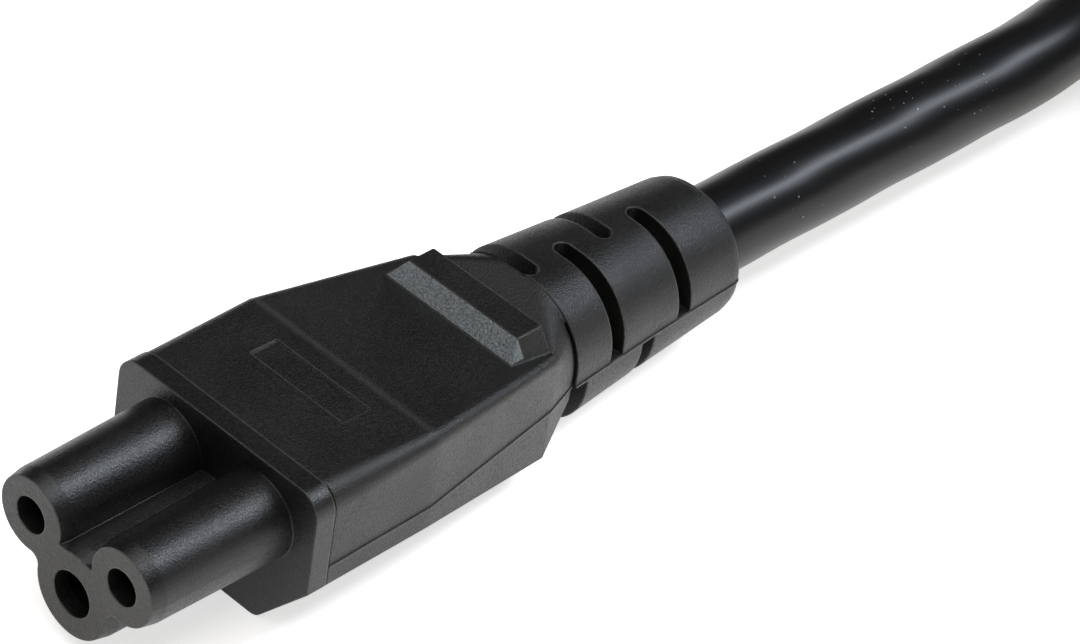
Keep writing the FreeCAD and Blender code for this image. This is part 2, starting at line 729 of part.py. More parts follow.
def make_grip(boss_solid, cap_solid, cores, cord):
    """Overmould: the outside, less the slots, the recess and everything it is moulded round."""
    middle = Size(0.0, "0")
    z = D["axis_height"]
    half = D["neck_half"]
    neck_outline = rounded_corners(half, half - 0.4, D["relief_round"], middle, z)
    neck = prism("grip_neck", neck_outline, band_end - 0.6, relief_start + 0.4)
    outside = fused("grip_outside", [
        make_grip_main("grip_main", 0.0), make_grip_pad(), make_pad_tail(), neck,
        make_relief("relief_body", 0.0), make_lip(),
    ])
    rows = int(D["slot_rows"].number)
    slots = make_slots("relief_slots", middle, z, slot_first, D["slot_core"], D["slot_reach"], rows)
    wide = D["frame_half"]
    frame_start = flange_back + D["frame_run"]
    frame = block(
        "bare_recess", (0.0 - wide, wide),
        (frame_start, frame_start + D["frame_depth"]), (D["frame_floor"], D["frame_floor"] + 2.0),
    )
    spaces = [boss_solid, cap_solid, cord, slots, frame, make_joint()]
    for word, x, up, kind in WAYS:
        spaces.append(rod(word + "_barrel_space", D[kind + "_barrel"], x, up, boss_end - 0.2, barrel_end))
    for tube, metal, space in cores:
        spaces.append(space)
    return trimmed("connector_grip", outside, fused("grip_spaces", spaces))


def lead_points():
    """Turning points of the cord from the sheath end to the coil."""
    z = D["axis_height"].number
    side = D["run_side"].number
    low = D["tie_wall"].number + D["cord_size"].number
    fold = D["near_fold"].number
    leaving = relief_end.number
    return [
        (0.0, sheath_start.number, z), (0.0, leaving + 1.0, z), (0.1, leaving + 23.0, z - 0.1),
        (0.0, fold - 30.0, z - 0.5), (side, fold - 17.0, low), (side, fold, low),
    ]


def tail_points():
    """Turning points of the cord from the coil to the plug."""
    side = D["run_side"].number
    high = D["tie_wall"].number + 5.0 * D["cord_size"].number
    far = D["near_fold"].number + D["run_length"].number
    x = D["plug_side"].number
    z = D["plug_axis"].number
    return [
        (side, far, high), (side, far + 20.0, high), (x, far + 37.0, z), (x, D["plug_sheath"].number, z),
    ]


def make_cord(name, points):
    """Round cord along its turning points; the volume is compared with section times length."""
    path = path_of(points)
    solid = swept(path, D["cord_size"])
    expected = math.pi * D["cord_size"].number ** 2 * path.Length
    print(name, "length mm", round(path.Length, 1), "volume share", round(solid.Volume / expected, 3))
    return add_shape(name, solid)


def coil_ring(name, low):
    """One layer of the coil: two straight runs and two folds."""
    high = low + 2.0 * D["cord_size"]
    inner = D["fold_size"] - D["cord_size"]
    outer = D["fold_size"] + D["cord_size"]
    middle = D["run_side"] + D["fold_size"]
    near = D["near_fold"]
    far = near + D["run_length"]
    outside = fused(name + "_outside", [
        post(name + "_near", outer, middle, near, low, high),
        post(name + "_far", outer, middle, far, low, high),
        block(name + "_runs", (middle - outer, middle + outer), (near, far), (low, high)),
    ])
    inside = fused(name + "_inside", [
        post(name + "_near_open", inner, middle, near, low - 1.0, high + 1.0),
        post(name + "_far_open", inner, middle, far, low - 1.0, high + 1.0),
        block(name + "_open", (middle - inner, middle + inner), (near, far), (low - 1.0, high + 1.0)),
    ])
    return trimmed(name, outside, inside)


def make_hank():
    """The coil in three layers: the cord comes into the first and leaves from the third."""
    size = 2.0 * D["cord_size"]
    outer = D["fold_size"] + D["cord_size"]
    middle = D["run_side"] + D["fold_size"]
    near = D["near_fold"]
    far = near + D["run_length"]
    floor = D["tie_wall"] + 0.0
    reach = outer + 1.0
    entry = block(
        "coil_entry", (middle - reach, middle + 0.0),
        (near - reach, near + 0.0), (floor - 1.0, floor + size),
    )
    lowest = trimmed("coil_lowest", coil_ring("coil_first", floor), entry)
    second = coil_ring("coil_second", floor + size)
    third = coil_ring("coil_third", floor + size * 2.0)
    top = (floor + size * 2.0 - 1.0, floor + size * 3.0 + 1.0)
    right_side = block("coil_third_right", (middle + 0.0, middle + reach), (near - reach, far + reach), top)
    far_side = block("coil_third_far", (middle - reach, middle + reach), (far + 0.0, far + reach), top)
    upper = trimmed("coil_upper", third, fused("coil_third_rest", [right_side, far_side]))
    return fused("cord_hank", [lowest, second, upper])


def make_tie():
    """Flat band round the left bundle."""
    wall = D["tie_wall"]
    left = D["run_side"] - D["cord_size"]
    right = D["run_side"] + D["cord_size"]
    high = wall + 6.0 * D["cord_size"]
    start = D["tie_place"] - D["tie_width"] / 2.0
    end = D["tie_place"] + D["tie_width"] / 2.0
    ring = block("tie_outside", (left - wall, right + wall), (start, end), (wall * 0.0, high + wall))
    hole = block("tie_inside", (left, right), (start - 1.0, end + 1.0), (wall, high))
    return trimmed("cord_tie", ring, hole)


plug_relief_end = D["plug_start"] + D["plug_relief"]
plug_head_start = plug_relief_end + D["plug_taper"]
plug_face = plug_head_start + D["plug_head"]
root_back = plug_face - D["root_length"]
plug_barrel_back = root_back - D["barrel_length"]
plug_crimp_end = plug_barrel_back + D["crimp_depth"]

# The three pins of the plug: word, sideways place, height.
PINS = [
    ("line", D["plug_side"] - D["blade_side"], D["blade_height"]),
    ("neutral", D["plug_side"] + D["blade_side"], D["blade_height"]),
    ("earth", D["plug_side"] + 0.0, D["pin_height"]),
]


def make_blade(word, x, z):
    """Flat blade with a hole near the tip and a crimp barrel behind the face."""
    thick = D["blade_thick"] / 2.0
    wide = D["blade_wide"] / 2.0
    tip = plug_face + D["blade_reach"]
    flat = block(word + "_blade_flat", (x - thick, x + thick), (root_back, tip), (z - wide, z + wide))
    barrel = rod(word + "_blade_barrel", D["plug_barrel"], x, z, plug_barrel_back, root_back + 0.2)
    crimp = rod(word + "_blade_crimp", D["copper_size"], x, z, plug_barrel_back - 0.2, plug_crimp_end)
    hole = doc.addObject("Part::Cylinder", word + "_blade_hole")
    hole.Placement = FreeCAD.Placement(VECTOR(0, 0, 0), ALONG_X)
    bind(hole, "Radius", D["blade_hole"])
    bind(hole, "Height", D["blade_thick"] * 3.0)
    place_at(hole, x - D["blade_thick"] * 1.5, plug_face + D["blade_hole_place"], z)
    solid = fused(word + "_blade_solid", [flat, barrel])
    return trimmed(word + "_blade", solid, fused(word + "_blade_cuts", [crimp, hole]))


def make_earth_pin(x, z):
    """Round pin with a domed tip and a crimp barrel behind the face."""
    tip = plug_face + D["pin_reach"] - D["pin_size"]
    dome = doc.addObject("Part::Sphere", "earth_pin_dome")
    bind(dome, "Radius", D["pin_size"])
    place_at(dome, x, tip, z)
    shaft = rod("earth_pin_shaft", D["pin_size"], x, z, root_back, tip)
    barrel = rod("earth_pin_barrel", D["plug_barrel"], x, z, plug_barrel_back, root_back + 0.2)
    crimp = rod("earth_pin_crimp", D["copper_size"], x, z, plug_barrel_back - 0.2, plug_crimp_end)
    return trimmed("earth_pin", fused("earth_pin_solid", [shaft, dome, barrel]), crimp)


def make_plug_cores():
    """Cores from the sheath end in the plug to the three barrels."""
    cores = []
    starts = cord_places(D["plug_side"].number, D["plug_axis"].number, -1)
    sheath = D["plug_sheath"].number
    back = plug_barrel_back.number
    crimp = plug_crimp_end.number
    for word, x, z in PINS:
        cores.append(make_core("plug_" + word, (x.number, z.number), starts[word], back, sheath, crimp))
    return cores


def make_plug_outside():
    """Head, taper and slotted strain relief of the plug."""
    x = D["plug_side"]
    z = D["plug_axis"]
    head = rounded_corners(D["plug_half"], z, D["plug_round"], x, z)
    shoulder = rounded_corners(D["relief_half"], D["relief_half"], D["plug_round"], x, z)
    start = rounded_corners(D["relief_end_half"], D["relief_end_half"], D["relief_end_round"], x, z)
    end = rounded_corners(D["relief_half"], D["relief_half"], D["relief_round"], x, z)
    face = eased_end(plug_face, D["relief_edge"], D["plug_half"], z, D["plug_round"], x, z)
    body = lofted("plug_body", [(plug_relief_end, shoulder), (plug_head_start, head)] + face)
    sleeve = lofted("plug_sleeve", [(D["plug_start"], start), (plug_relief_end + 0.5, end)])
    return fused("plug_outside", [body, sleeve])


def make_carrier():
    """Rigid plate in the plug face that holds the blades and the pin."""
    outline = rounded_corners(
        D["carrier_half"], D["carrier_rise"], D["carrier_round"], D["plug_side"], D["plug_axis"],
    )
    return prism("carrier_plate", outline, plug_face - D["carrier_depth"], plug_face)


def make_plug(tail):
    """Plug: blades and pin through the carrier, all moulded into the grip."""
    carrier_solid = make_carrier()
    metal = [make_blade(word, x, z) for word, x, z in PINS[:2]]
    metal.append(make_earth_pin(PINS[2][1], PINS[2][2]))
    cores = make_plug_cores()
    ways = []
    thick = D["blade_thick"] / 2.0
    wide = D["blade_wide"] / 2.0
    through = plug_face + 2.0
    for word, x, z in PINS:
        barrel = D["plug_barrel"]
        ways.append(rod("plug_%s_barrel_space" % word, barrel, x, z, plug_barrel_back, root_back + 0.2))
        if word == "earth":
            ways.append(rod("plug_earth_space", D["pin_size"], x, z, root_back, through))
        else:
            sides = (x - thick, x + thick)
            ways.append(block("plug_%s_space" % word, sides, (root_back, through), (z - wide, z + wide)))
    spaces = fused("plug_spaces", ways)
    carrier = trimmed("plug_pin_carrier", carrier_solid, spaces)
    first = D["plug_start"] + D["plug_slot_first"]
    core = D["slot_core"]
    slots = make_slots("plug_slots", D["plug_side"], D["plug_axis"], first, core, D["slot_reach"], 3)
    inner = [spaces, carrier_solid, tail, slots] + [space for tube, copper, space in cores]
    grip = trimmed("plug_grip", make_plug_outside(), fused("plug_inside", inner))
    return [grip, carrier] + metal, cores


def make_everything():
    """All pieces in order, keyed by their node names."""
    insert, boss_solid, boss = make_insert()
    retainer, cap_solid = make_retainer(boss)
    contacts = [make_contact(word, x, z, kind) for word, x, z, kind in WAYS]
    cores = make_connector_cores()
    lead = make_cord("cord_lead", lead_points())
    tail = make_cord("cord_tail", tail_points())
    grip = make_grip(boss_solid, cap_solid, cores, lead)
    hank = make_hank()
    tie = make_tie()
    plug_pieces, plug_cores = make_plug(tail)
    pieces = [insert, retainer, grip] + contacts + [lead, hank, tail, tie] + plug_pieces
    for tube, metal, space in cores + plug_cores:
        pieces.extend([tube, metal])
    return pieces


nodes = make_everything()
doc.recompute()
for feature in doc.Objects:
    for word in ("Invalid", "Error"):
        if word in feature.State:
            raise ValueError(feature.Name + " " + word)
for piece in nodes:
    shape = piece.Shape
    if shape.isNull() or not shape.isValid() or len(shape.Solids) != 1:
        raise ValueError("%s solids %d valid %s" % (piece.Name, len(shape.Solids), shape.isValid()))
    shape.exportStep("parts/%s.step" % piece.Name)
    box = shape.BoundBox
    reach = (box.YMin, box.YMax, box.ZMin, box.ZMax)
    print("%-24s volume %9.1f" % (piece.Name, shape.Volume), "y %7.2f..%7.2f z %6.2f..%6.2f" % reach)
print("pieces", len(nodes))
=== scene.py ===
import json
import math

import bmesh
import bpy
from mathutils import Matrix, Vector


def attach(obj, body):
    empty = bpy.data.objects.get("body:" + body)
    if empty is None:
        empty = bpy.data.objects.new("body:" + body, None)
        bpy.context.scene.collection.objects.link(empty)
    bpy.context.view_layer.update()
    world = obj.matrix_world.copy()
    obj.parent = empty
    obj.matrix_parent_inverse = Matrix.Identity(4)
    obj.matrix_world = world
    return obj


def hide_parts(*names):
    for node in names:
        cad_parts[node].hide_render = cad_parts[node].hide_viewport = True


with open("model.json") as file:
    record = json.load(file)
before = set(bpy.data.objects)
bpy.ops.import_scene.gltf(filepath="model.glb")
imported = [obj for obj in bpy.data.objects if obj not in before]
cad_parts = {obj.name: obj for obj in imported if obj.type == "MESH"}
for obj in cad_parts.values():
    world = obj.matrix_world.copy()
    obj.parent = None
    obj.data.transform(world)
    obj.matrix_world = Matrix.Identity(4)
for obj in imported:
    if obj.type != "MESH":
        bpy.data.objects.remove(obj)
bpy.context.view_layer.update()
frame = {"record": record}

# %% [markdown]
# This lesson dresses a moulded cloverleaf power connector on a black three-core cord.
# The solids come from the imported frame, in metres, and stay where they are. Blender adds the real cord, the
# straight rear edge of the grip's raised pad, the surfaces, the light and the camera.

MM = 0.001

# %% [markdown]
# The camera stands where the photograph was taken from. Its place and its long lens were worked out from the
# straight edges of the connector and the outlines of its three openings. The three directions are the
# camera's own right, down and forward, given in the axes of the part.

# %% Camera
IMAGE_WIDTH_PIXELS = 1080.0
FOCAL_PIXELS = 4943.0
SENSOR_MM = 36.0
NEAREST_SEEN = 0.01
FARTHEST_SEEN = 20.0
CAMERA_PLACE = Vector((165.0, -195.38, 216.29)) * MM
VIEW_RIGHT = Vector((0.70962, 0.69220, 0.13152))
VIEW_DOWN = Vector((0.50956, -0.37526, -0.77429))
VIEW_FORWARD = Vector((-0.48661, 0.61647, -0.61901))


def add_object(name, data):
    """An object for a mesh, a curve, a lamp or a camera, linked to the scene."""
    made = bpy.data.objects.new(name, data)
    bpy.context.scene.collection.objects.link(made)
    return made


def add_camera():
    """The camera of the photograph."""
    data = bpy.data.cameras.new("camera")
    data.sensor_width = SENSOR_MM
    data.lens = FOCAL_PIXELS / IMAGE_WIDTH_PIXELS * SENSOR_MM
    data.clip_start = NEAREST_SEEN
    data.clip_end = FARTHEST_SEEN
    camera = add_object("camera", data)
    turn = Matrix((VIEW_RIGHT, -VIEW_DOWN, -VIEW_FORWARD)).transposed().to_4x4()
    camera.matrix_world = Matrix.Translation(CAMERA_PLACE) @ turn
    bpy.context.scene.camera = camera
    return camera


camera = add_camera()
print("lens in millimetres", round(camera.data.lens, 1))

# %% [markdown]
# A mains cord is one smooth line. It leaves the strain relief straight, sinks to the table under its own
# weight and goes on out of the picture, where the rest of its length is folded into a tied hank.
# The line could be drawn by hand with Bezier handles. A NURBS spline needs only the turning points of the
# route and has no kinks, so it is used here. In the folds of the hank the points stand a little outside the
# bend, because a spline of order 3 touches the middle of each side of its control polygon.

# %% Route of the cord
CORD_EXIT = (0.0, 29.0, 6.35)
LEAD_POINTS = [CORD_EXIT, (0.1, 52.0, 6.25), (0.0, 71.0, 5.85), (-4.0, 84.0, 4.0), (-4.0, 101.0, 4.0)]
TAIL_POINTS = [(-4.0, 220.7, 17.6), (-4.0, 240.7, 17.6), (1.6, 257.7, 13.5), (1.6, 264.0, 13.5)]
LEFT_RUN = -4.0
FOLD_RADIUS = 20.4
RIGHT_RUN = LEFT_RUN + 2.0 * FOLD_RADIUS
NEAR_FOLD = 101.0
FAR_FOLD = 220.7
RUN_STATIONS = [113.0, 161.0, 208.7]
LAYER_HEIGHTS = [4.0, 10.8, 17.6]
FOLD_POINTS = 6


def fold_points(station, first_angle, low, high):
    """Control points of a half turn from one run to the other, in millimetres."""
    middle = LEFT_RUN + FOLD_RADIUS
    reach = FOLD_RADIUS / math.cos(math.pi / FOLD_POINTS / 2.0)
    points = []
    for step in range(FOLD_POINTS):
        share = (step + 0.5) / FOLD_POINTS
        angle = first_angle - math.pi * share
        height = low + (high - low) * share
        points.append((middle + reach * math.cos(angle), station + reach * math.sin(angle), height))
    return points


def hank_points():
    """Control points of the runs and folds; each turn of the hank climbs by a layer in its near fold."""
    points = []
    for low, high in zip(LAYER_HEIGHTS, LAYER_HEIGHTS[1:]):
        points += [(LEFT_RUN, station, low) for station in RUN_STATIONS]
        points += fold_points(FAR_FOLD, math.pi, low, low)
        points += [(RIGHT_RUN, station, low) for station in reversed(RUN_STATIONS)]
        points += fold_points(NEAR_FOLD, 0.0, low, high)
    points += [(LEFT_RUN, station, LAYER_HEIGHTS[-1]) for station in RUN_STATIONS]
    return points


cord_points = LEAD_POINTS + hank_points() + TAIL_POINTS
print("control points of the cord", len(cord_points))

# %% Line of the cord
SPLINE_ORDER = 3
SPLINE_RESOLUTION = 12


def spline_line(name, points):
    """Points along a smooth spline that the control points pull into shape."""
    curve = bpy.data.curves.new(name, "CURVE")
    curve.dimensions = "3D"
    spline = curve.splines.new("NURBS")
    spline.points.add(len(points) - 1)
    for place, point in zip(spline.points, points):
        place.co = (point[0] * MM, point[1] * MM, point[2] * MM, 1.0)
    spline.order_u = SPLINE_ORDER
    spline.use_endpoint_u = True
    spline.resolution_u = SPLINE_RESOLUTION
    guide = add_object(name, curve)
    graph = bpy.context.evaluated_depsgraph_get()
    mesh = bpy.data.meshes.new_from_object(guide.evaluated_get(graph))
    line = [vertex.co.copy() for vertex in mesh.vertices]
    bpy.data.objects.remove(guide)
    bpy.data.curves.remove(curve)
    bpy.data.meshes.remove(mesh)
    return line


def line_length(line):
    """Length of a line through its points."""
    return sum((b - a).length for a, b in zip(line, line[1:]))


cord_line = spline_line("cord_guide", cord_points)

# %% [markdown]
# The three cores are twisted under the sheath, and the sheath is drawn down on them. So the cord isn't a
# perfect tube: its skin has three broad, very soft ridges with narrow valleys between them, which wind round
# it once in every lay length. A bevelled curve would be quicker, but it can't have ridges.
# The tube is built ring by ring on the line. Each ring is carried on from the one before without twisting,
# and the valleys are taken off its radius. The tube has a UV map in metres, round the cord and along it,
# for the marks on its surface.

# %% Radius of the cord
CORD_RADIUS = 3.4 * MM
LAY_LENGTH = 35.0 * MM
RIDGES = 3
RIDGE_HEIGHT = 0.07 * MM
RIDGE_FADE = 6.0 * MM
HIDDEN_START = 2.0 * MM


def cord_radius(distance, angle, total):
    """Radius with three broad ridges and narrow valleys that fade at both ends."""
    from_start = max(0.0, distance - HIDDEN_START) / RIDGE_FADE
    to_end = max(0.0, total - distance) / RIDGE_FADE
    fade = min(1.0, from_start, to_end)
    wave = math.cos(RIDGES * (angle - 2.0 * math.pi * distance / LAY_LENGTH))
    valley = (0.5 - 0.5 * wave) ** 2
    return CORD_RADIUS - RIDGE_HEIGHT * fade * valley


print("cord diameter in millimetres", round(2.0 * CORD_RADIUS / MM, 2))

# %% Rings along the cord
RING_SIDES = 36
RING_STEP = 1.3 * MM


def even_points(line, step):
    """The same line with its points an even step apart."""
    total = line_length(line)
    count = max(2, int(round(total / step)))
    spots = [line[0].copy()]
    travelled = 0.0
    target = total / count
    for a, b in zip(line, line[1:]):
        length = (b - a).length
        while length > 0.0 and travelled + length >= target * len(spots) and len(spots) < count:
            share = (target * len(spots) - travelled) / length
            spots.append(a.lerp(b, share))
        travelled += length
    spots.append(line[-1].copy())
    return spots


def ring_frames(spots):
    """A side and an up direction for each point, carried along without twist."""
    frames = []
    side = Vector((1.0, 0.0, 0.0))
    for place in range(len(spots)):
        before = spots[max(place - 1, 0)]
        after = spots[min(place + 1, len(spots) - 1)]
        along = (after - before).normalized()
        side = (side - along * side.dot(along)).normalized()
        frames.append((side.copy(), along.cross(side)))
    return frames


cord_spots = even_points([cord_line[0] - Vector((0.0, HIDDEN_START, 0.0))] + cord_line, RING_STEP)
print("rings", len(cord_spots))

# %% Cord skin


def join_rings(shell, rings):
    """Close a tube through the rings; gives its side faces, ring by ring."""
    sides = []
    for ring, following in zip(rings, rings[1:]):
        for corner in range(len(ring)):
            after = (corner + 1) % len(ring)
            sides.append(shell.faces.new((ring[corner], ring[after], following[after], following[corner])))
    shell.faces.new(list(reversed(rings[0])))
    shell.faces.new(rings[-1])
    return sides


def finished_piece(shell, name):
    """A piece from the shell, with its faces turned outwards."""
    bmesh.ops.recalc_face_normals(shell, faces=shell.faces)
    mesh = bpy.data.meshes.new(name)
    shell.to_mesh(mesh)
    shell.free()
    return add_object(name, mesh)


def map_sheath(sheath_map, sides, distances):
    """Lay the side faces out flat, in metres."""
    side_width = 2.0 * math.pi * CORD_RADIUS / RING_SIDES
    for number, face in enumerate(sides):
        place, corner = divmod(number, RING_SIDES)
        around = (corner, corner + 1, corner + 1, corner)
        ahead = (place, place, place + 1, place + 1)
        for loop, side, ring in zip(face.loops, around, ahead):
            loop[sheath_map].uv = (side * side_width, distances[ring])


def build_cord(spots):
    """Closed tube on the line, begun a little inside the strain relief."""
    shell = bmesh.new()
    sheath_map = shell.loops.layers.uv.new("sheath")
    total = line_length(spots)
    rings = []
    distances = []
    distance = 0.0
    for place, (side, up) in enumerate(ring_frames(spots)):
        if place:
            distance += (spots[place] - spots[place - 1]).length
        distances.append(distance)
        ring = []
        for corner in range(RING_SIDES):
            angle = 2.0 * math.pi * corner / RING_SIDES
            outward = side * math.cos(angle) + up * math.sin(angle)
            ring.append(shell.verts.new(spots[place] + outward * cord_radius(distance, angle, total)))
        rings.append(ring)
    sides = join_rings(shell, rings)
    for face in sides:
        face.smooth = True
    map_sheath(sheath_map, sides, distances)
    return finished_piece(shell, "mains_cord")


mains_cord = build_cord(cord_spots)
print("cord faces", len(mains_cord.data.polygons))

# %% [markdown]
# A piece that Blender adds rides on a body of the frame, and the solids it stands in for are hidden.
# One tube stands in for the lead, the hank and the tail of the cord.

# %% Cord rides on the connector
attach(mains_cord, "root")
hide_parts("cord_lead", "cord_hank", "cord_tail")
print("the cord stands in for the lead, the hank and the tail")

# %% [markdown]
# On the real grip the raised pad ends in a straight edge across the top, and behind it the surface drops to
# the band. The solid lets the pad sink into the band as a tail, so that tail is carved away here.
# The cutter is a block whose lower side follows the band and the start of the strain relief. It goes a
# hair into them on top, so that no thin skin is left, and at its rear end it rises out of the relief. From
# 50 degrees round the corners on it moves away, to stand clear of the rounded sides.
# Stations count along the connector and heights from the table, in millimetres. A section is its half
# width, the height of its top and the radius of its upper corners.

# %% Lower side of the cutter
BAND_FRONT_SECTION = (7.15, 10.95, 0.65)
BAND_REAR_SECTION = (6.15, 12.2, 4.8)
RELIEF_SECTION = (6.35, 12.27, 5.0)
ARC_STEPS = 16
QUARTER_TURN = math.pi / 2.0
CUT_TO_ANGLE = math.radians(50.0)
CLEAR_OF_SIDES = 0.4


def top_line(section, depth):
    """A line a little below the top of a section, from its left side to its right one."""
    half, top, curve = section
    right = []
    for step in range(ARC_STEPS + 1):
        angle = QUARTER_TURN * step / ARC_STEPS
        outward = max(0.0, angle - CUT_TO_ANGLE) / (QUARTER_TURN - CUT_TO_ANGLE)
        radius = curve - depth + outward * CLEAR_OF_SIDES
        right.append((half - curve + radius * math.sin(angle), top - curve + radius * math.cos(angle)))
    left = [(-x, z) for x, z in reversed(right)]
    return left + right


def between(first, last, share):
    """A line part of the way from one line to another."""
    return [(a[0] + (b[0] - a[0]) * share, a[1] + (b[1] - a[1]) * share) for a, b in zip(first, last)]


print("points across the cutter", len(top_line(BAND_REAR_SECTION, 0.0)))

# %% Cutter along the band
PAD_REAR = 7.4
BAND_START = 7.3
BAND_END = 10.4
RELIEF_FACE = 10.65
TAIL_END = 11.15
FACE_STEP = 0.01
CUTTER_TOP = 14.0
BAND_DEPTH = 0.05
RELIEF_DEPTH = 0.03
RUN_OUT_DEPTH = -0.02


def cutter_lines():
    """The lower side of the cutter at each of its stations."""
    front = top_line(BAND_FRONT_SECTION, BAND_DEPTH)
    rear = top_line(BAND_REAR_SECTION, BAND_DEPTH)
    lines = []
    for station in (PAD_REAR, (PAD_REAR + BAND_END) / 2.0, BAND_END, RELIEF_FACE - FACE_STEP):
        share = min(1.0, (station - BAND_START) / (BAND_END - BAND_START))
        lines.append((station, between(front, rear, share)))
    lines.append((RELIEF_FACE + FACE_STEP, top_line(RELIEF_SECTION, RELIEF_DEPTH)))
    lines.append((TAIL_END, top_line(RELIEF_SECTION, RUN_OUT_DEPTH)))
    return lines


def build_cutter():
    """Closed block over the band and the start of the strain relief."""
    shell = bmesh.new()
    rings = []
    for station, below in cutter_lines():
        above = [(x, CUTTER_TOP) for x, z in reversed(below)]
        rings.append([shell.verts.new(Vector((x, station, z)) * MM) for x, z in below + above])
    join_rings(shell, rings)
    return finished_piece(shell, "band_cutter")


band_cutter = build_cutter()
print("cutter faces", len(band_cutter.data.polygons))

# %% [markdown]
# A solid's mesh comes as loose triangles, so a copy of it is merged first. A Boolean modifier takes the
# cutter away, and the edges that turn by more than 28 degrees are marked sharp. A Weighted Normal modifier
# then keeps the large flat faces flat beside the rounded ones.

# %% Grip with the straight pad edge
MERGE_DISTANCE = 0.0001 * MM
SHARP_ANGLE = math.radians(28.0)
OLD_SHADING = ("custom_normal", "sharp_face", "sharp_edge")


def carry_out_modifiers(piece):
    """Give the piece the mesh that its modifiers make of the one it has."""
    graph = bpy.context.evaluated_depsgraph_get()
    before = piece.data
    after = bpy.data.meshes.new_from_object(piece.evaluated_get(graph))
    piece.modifiers.clear()
    piece.data = after
    bpy.data.meshes.remove(before)
    after.name = piece.name


def merged_copy(solid_name, name):
    """A copy of a solid in which the triangles share their corners."""
    mesh = bpy.data.objects[solid_name].data.copy()
    mesh.materials.clear()
    shell = bmesh.new()
    shell.from_mesh(mesh)
    bmesh.ops.remove_doubles(shell, verts=shell.verts, dist=MERGE_DISTANCE)
    shell.to_mesh(mesh)
    shell.free()
    return add_object(name, mesh)


def carve(piece, cutter):
    """Take the cutter away from the piece."""
    cut = piece.modifiers.new("pad edge", "BOOLEAN")
    cut.operation = "DIFFERENCE"
    cut.solver = "EXACT"
    cut.object = cutter
    carry_out_modifiers(piece)


def shade_by_edges(piece):
    """Forget the solid's own shading and shade the piece by its sharp edges."""
    for word in OLD_SHADING:
        if word in piece.data.attributes:
            piece.data.attributes.remove(piece.data.attributes[word])
    piece.data.set_sharp_from_angle(angle=SHARP_ANGLE)
    flat = piece.modifiers.new("flat faces", "WEIGHTED_NORMAL")
    flat.keep_sharp = True
    carry_out_modifiers(piece)


moulded_grip = merged_copy("connector_grip", "moulded_grip")
carve(moulded_grip, band_cutter)
shade_by_edges(moulded_grip)
bpy.data.objects.remove(band_cutter)
print("grip faces", len(moulded_grip.data.polygons))

# %% Grip rides on the connector
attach(moulded_grip, "root")
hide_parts("connector_grip")
print("the carved grip stands in for the solid one")

# %% [markdown]
# Materials are small node trees. One function adds a node with its settings and links, and one turns a
# colour from the usual hex form into the linear numbers that the shader wants.

# %% Helpers for materials
PLASTIC_IOR = 1.5
WHITE = (1.0, 1.0, 1.0, 1.0)


def linear(code):
    """Linear colour of an sRGB hex value, by the formula of the sRGB standard."""
    values = []
    for place in (0, 2, 4):
        share = int(code[place:place + 2], 16) / 255.0
        values.append(share / 12.92 if share <= 0.04045 else ((share + 0.055) / 1.055) ** 2.4)
    return (values[0], values[1], values[2], 1.0)


def node(tree, kind, settings=None, inputs=None):
    """Add a node; an input is a value or the output socket of another node."""
    made = tree.nodes.new(kind)
    for name, value in (settings or {}).items():
        setattr(made, name, value)
    for name, value in (inputs or {}).items():
        if isinstance(value, bpy.types.NodeSocket):
            tree.links.new(value, made.inputs[name])
        else:
            made.inputs[name].default_value = value
    return made


def new_material(name):
    """An empty material with its shader joined to the output."""
    material = bpy.data.materials.new(name)
    material.use_nodes = True
    tree = material.node_tree
    tree.nodes.clear()
    shader = node(tree, "ShaderNodeBsdfPrincipled")
    node(tree, "ShaderNodeOutputMaterial", inputs={"Surface": shader.outputs["BSDF"]})
    return material, tree, shader


print("white is", linear("ffffff"))

# %% [markdown]
# A Mix node for colours has its share in socket 0, its two colours in sockets 6 and 7, and its result in
# output 2. Dust, wear and strips of another finish are all blended over the colour that a surface has.

# %% Colours laid over colours
MIX_SHARE = 0
MIX_UNDER = 6
MIX_OVER = 7
MIX_RESULT = 2


def lay_over(tree, shader, share, under, over):
    """Colour the surface with a blend of two colours, by a share from 0 to 1."""
    colours = {MIX_SHARE: share, MIX_UNDER: under, MIX_OVER: over}
    tint = node(tree, "ShaderNodeMix", {"data_type": "RGBA"}, colours)
    tree.links.new(tint.outputs[MIX_RESULT], shader.inputs["Base Color"])


def feeding(shader, name):
    """The socket that feeds an input of the shader."""
    return shader.inputs[name].links[0].from_socket


print("sockets of a colour blend", MIX_SHARE, MIX_UNDER, MIX_OVER, MIX_RESULT)

# %% [markdown]
# The overmould is black plasticised PVC from a spark-eroded mould. The eroded steel leaves a fine grain of
# shallow pits, so the face is matt with a soft sheen: a low relief bump and a roughness near one half.
# The grain of the real mould is about 0.05 mm wide. It is drawn at about 0.17 mm so that it shows.
# Handling rubs the outer edges to a lighter grey, and the light line that their rounding catches is painted
# into the same grey as a painted highlight. They could be painted by hand. Here a Bevel node gives the
# normal that a rounded edge would have, and the pale grey, partly wear and partly painted highlight, comes
# from how far it turns away from the flat one. An Ambient Occlusion node keeps it out of the inner corners,
# where no hand reaches.

# %% Worn edges with a painted highlight
PLAIN_FACE_TURN = 0.98
PALEST_EDGE_TURN = 0.8
INNER_CORNER = 0.8
OPEN_EDGE = 0.95
WEAR_PIT = 0.35
WEAR_PEAK = 0.6
WEAR_IN_PITS = 0.35


